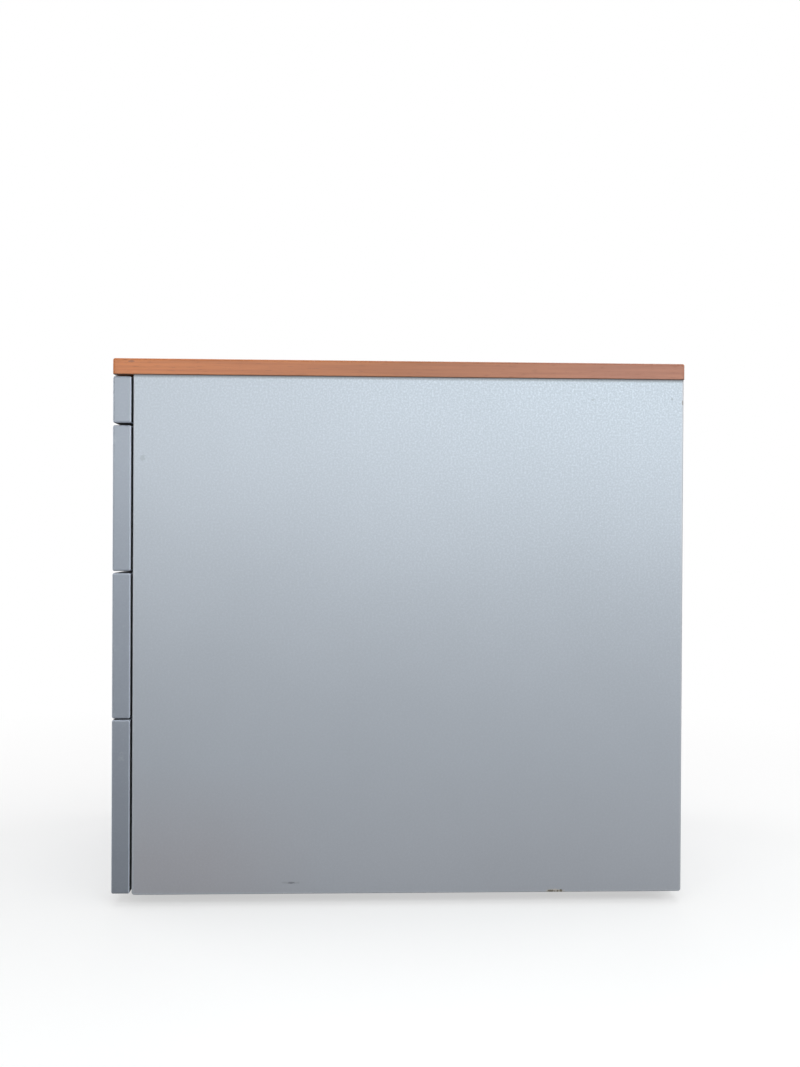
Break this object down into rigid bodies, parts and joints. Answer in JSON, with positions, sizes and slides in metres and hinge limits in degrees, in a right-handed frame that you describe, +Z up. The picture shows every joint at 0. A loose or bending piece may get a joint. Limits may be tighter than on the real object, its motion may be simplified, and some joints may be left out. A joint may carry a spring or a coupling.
{
  "type": "mobile drawer pedestal",
  "caption": "Under-desk pedestal with a board carcass, sliding drawers on ball-bearing rails, flush pulls, a central lock and concealed swivel castors.",
  "frame": {"origin": "on the floor under the middle of the top", "axes": "+Z up, the drawer fronts face -Y, +X to the right as seen from the front"},
  "size_m": [0.43, 0.6, 0.571],
  "materials": {
    "beech_decor": "beech decor on chipboard, satin",
    "beech_edge": "beech decor edge band, satin",
    "silver_melamine": "silver-grey metallic melamine on chipboard, satin",
    "silver_front": "silver-grey metallic foil on fibreboard, satin",
    "silver_edge": "silver-grey edge band, satin",
    "dowel_wood": "fluted beech",
    "rail_steel": "zinc-plated",
    "cage_steel": "bright steel",
    "tray_steel": "grey powder coat",
    "tray_plastic": "fine-grained, black",
    "pull_metal": "satin",
    "lock_nickel": "nickel-plated",
    "zinc_screw": "zinc-plated",
    "black_plastic": "moulded, matte",
    "wheel_nylon": "nylon, satin"
  },
  "bodies": {
    "carcass": {"top_panel": "beech_decor", "top_edge_band": "beech_edge", "left_side_panel": "silver_melamine", "right_side_panel": "silver_melamine", "side_edge_bands": "silver_edge", "back_panel": "silver_melamine", "base_panel": "silver_melamine", "wood_dowels": "dowel_wood", "rail_screws": "zinc_screw", "lock_housing": "lock_nickel", "locking_bar_guides": "black_plastic", "castor_plates": "rail_steel", "castor_screws": "zinc_screw", "pencil_cabinet_rails": "rail_steel", "upper_cabinet_rails": "rail_steel", "centre_cabinet_rails": "rail_steel", "lower_cabinet_rails": "rail_steel"},
    "lock_plug": {"lock_plug": "lock_nickel", "lock_cam": "rail_steel"},
    "locking_bar": {"locking_bar": "rail_steel"},
    "pencil_drawer": {"pencil_drawer_front": "silver_front", "pencil_drawer_pull": "pull_metal", "pencil_drawer_tray": "tray_steel", "pencil_drawer_rails": "rail_steel", "pen_insert": "tray_plastic"},
    "upper_drawer": {"upper_drawer_front": "silver_front", "upper_drawer_pull": "pull_metal", "upper_drawer_tray": "tray_steel", "upper_drawer_rails": "rail_steel"},
    "centre_drawer": {"centre_drawer_front": "silver_front", "centre_drawer_pull": "pull_metal", "centre_drawer_tray": "tray_steel", "centre_drawer_rails": "rail_steel"},
    "lower_drawer": {"lower_drawer_front": "silver_front", "lower_drawer_pull": "pull_metal", "lower_drawer_tray": "tray_steel", "lower_drawer_rails": "rail_steel"},
    "pencil_ball_cages": {"pencil_ball_cages": "cage_steel"},
    "upper_middle_rails": {"upper_middle_rails": "rail_steel"},
    "upper_outer_ball_cages": {"upper_outer_ball_cages": "cage_steel"},
    "upper_inner_ball_cages": {"upper_inner_ball_cages": "cage_steel"},
    "centre_middle_rails": {"centre_middle_rails": "rail_steel"},
    "centre_outer_ball_cages": {"centre_outer_ball_cages": "cage_steel"},
    "centre_inner_ball_cages": {"centre_inner_ball_cages": "cage_steel"},
    "lower_middle_rails": {"lower_middle_rails": "rail_steel"},
    "lower_outer_ball_cages": {"lower_outer_ball_cages": "cage_steel"},
    "lower_inner_ball_cages": {"lower_inner_ball_cages": "cage_steel"},
    "castor_front_left": {"castor_hood_front_left": "black_plastic", "castor_axle_front_left": "rail_steel"},
    "wheels_front_left": {"castor_wheels_front_left": "wheel_nylon"},
    "castor_front_right": {"castor_hood_front_right": "black_plastic", "castor_axle_front_right": "rail_steel"},
    "wheels_front_right": {"castor_wheels_front_right": "wheel_nylon"},
    "castor_rear_left": {"castor_hood_rear_left": "black_plastic", "castor_axle_rear_left": "rail_steel"},
    "wheels_rear_left": {"castor_wheels_rear_left": "wheel_nylon"},
    "castor_rear_right": {"castor_hood_rear_right": "black_plastic", "castor_axle_rear_right": "rail_steel"},
    "wheels_rear_right": {"castor_wheels_rear_right": "wheel_nylon"}
  },
  "joints": [
    {"name": "pencil_drawer_slide", "type": "slide", "parent": "carcass", "child": "pencil_drawer", "axis": [0, -1, 0], "range_m": [0, 0.35]},
    {"name": "upper_drawer_slide", "type": "slide", "parent": "carcass", "child": "upper_drawer", "axis": [0, -1, 0], "range_m": [0, 0.48]},
    {"name": "centre_drawer_slide", "type": "slide", "parent": "carcass", "child": "centre_drawer", "axis": [0, -1, 0], "range_m": [0, 0.48]},
    {"name": "lower_drawer_slide", "type": "slide", "parent": "carcass", "child": "lower_drawer", "axis": [0, -1, 0], "range_m": [0, 0.48]},
    {"name": "pencil_cage_slide", "type": "slide", "parent": "carcass", "child": "pencil_ball_cages", "axis": [0, -1, 0], "range_m": [0, 0.175]},
    {"name": "upper_middle_rails_slide", "type": "slide", "parent": "carcass", "child": "upper_middle_rails", "axis": [0, -1, 0], "range_m": [0, 0.24]},
    {"name": "upper_outer_ball_cages_slide", "type": "slide", "parent": "carcass", "child": "upper_outer_ball_cages", "axis": [0, -1, 0], "range_m": [0, 0.12]},
    {"name": "upper_inner_ball_cages_slide", "type": "slide", "parent": "carcass", "child": "upper_inner_ball_cages", "axis": [0, -1, 0], "range_m": [0, 0.36]},
    {"name": "centre_middle_rails_slide", "type": "slide", "parent": "carcass", "child": "centre_middle_rails", "axis": [0, -1, 0], "range_m": [0, 0.24]},
    {"name": "centre_outer_ball_cages_slide", "type": "slide", "parent": "carcass", "child": "centre_outer_ball_cages", "axis": [0, -1, 0], "range_m": [0, 0.12]},
    {"name": "centre_inner_ball_cages_slide", "type": "slide", "parent": "carcass", "child": "centre_inner_ball_cages", "axis": [0, -1, 0], "range_m": [0, 0.36]},
    {"name": "lower_middle_rails_slide", "type": "slide", "parent": "carcass", "child": "lower_middle_rails", "axis": [0, -1, 0], "range_m": [0, 0.24]},
    {"name": "lower_outer_ball_cages_slide", "type": "slide", "parent": "carcass", "child": "lower_outer_ball_cages", "axis": [0, -1, 0], "range_m": [0, 0.12]},
    {"name": "lower_inner_ball_cages_slide", "type": "slide", "parent": "carcass", "child": "lower_inner_ball_cages", "axis": [0, -1, 0], "range_m": [0, 0.36]},
    {"name": "lock_turn", "type": "hinge", "parent": "carcass", "child": "lock_plug", "pos_m": [0.19, -0.3, 0.54], "axis": [0, -1, 0], "range_deg": [0, 90]},
    {"name": "locking_bar_slide", "type": "slide", "parent": "carcass", "child": "locking_bar", "axis": [0, 0, -1], "range_m": [0, 0.00707]},
    {"name": "castor_front_left_swivel", "type": "hinge", "parent": "carcass", "child": "castor_front_left", "pos_m": [-0.153, -0.2188, 0.053], "axis": [0, 0, 1], "continuous": true},
    {"name": "wheels_front_left_roll", "type": "hinge", "parent": "castor_front_left", "child": "wheels_front_left", "pos_m": [-0.153, -0.2028, 0.02], "axis": [1, 0, 0], "continuous": true},
    {"name": "castor_front_right_swivel", "type": "hinge", "parent": "carcass", "child": "castor_front_right", "pos_m": [0.153, -0.2188, 0.053], "axis": [0, 0, 1], "continuous": true},
    {"name": "wheels_front_right_roll", "type": "hinge", "parent": "castor_front_right", "child": "wheels_front_right", "pos_m": [0.153, -0.2028, 0.02], "axis": [1, 0, 0], "continuous": true},
    {"name": "castor_rear_left_swivel", "type": "hinge", "parent": "carcass", "child": "castor_rear_left", "pos_m": [-0.153, 0.2282, 0.053], "axis": [0, 0, 1], "continuous": true},
    {"name": "wheels_rear_left_roll", "type": "hinge", "parent": "castor_rear_left", "child": "wheels_rear_left", "pos_m": [-0.153, 0.2442, 0.02], "axis": [1, 0, 0], "continuous": true},
    {"name": "castor_rear_right_swivel", "type": "hinge", "parent": "carcass", "child": "castor_rear_right", "pos_m": [0.153, 0.2282, 0.053], "axis": [0, 0, 1], "continuous": true},
    {"name": "wheels_rear_right_roll", "type": "hinge", "parent": "castor_rear_right", "child": "wheels_rear_right", "pos_m": [0.153, 0.2442, 0.02], "axis": [1, 0, 0], "continuous": true}
  ],
  "couplings": [
    {"joint": "pencil_cage_slide", "follows": "pencil_drawer_slide", "ratio": 0.5},
    {"joint": "upper_middle_rails_slide", "follows": "upper_drawer_slide", "ratio": 0.5},
    {"joint": "upper_outer_ball_cages_slide", "follows": "upper_drawer_slide", "ratio": 0.25},
    {"joint": "upper_inner_ball_cages_slide", "follows": "upper_drawer_slide", "ratio": 0.75},
    {"joint": "centre_middle_rails_slide", "follows": "centre_drawer_slide", "ratio": 0.5},
    {"joint": "centre_outer_ball_cages_slide", "follows": "centre_drawer_slide", "ratio": 0.25},
    {"joint": "centre_inner_ball_cages_slide", "follows": "centre_drawer_slide", "ratio": 0.75},
    {"joint": "lower_middle_rails_slide", "follows": "lower_drawer_slide", "ratio": 0.5},
    {"joint": "lower_outer_ball_cages_slide", "follows": "lower_drawer_slide", "ratio": 0.25},
    {"joint": "lower_inner_ball_cages_slide", "follows": "lower_drawer_slide", "ratio": 0.75},
    {"joint": "lock_turn", "follows": "locking_bar_slide", "rad_per_m": 222.1}
  ]
}
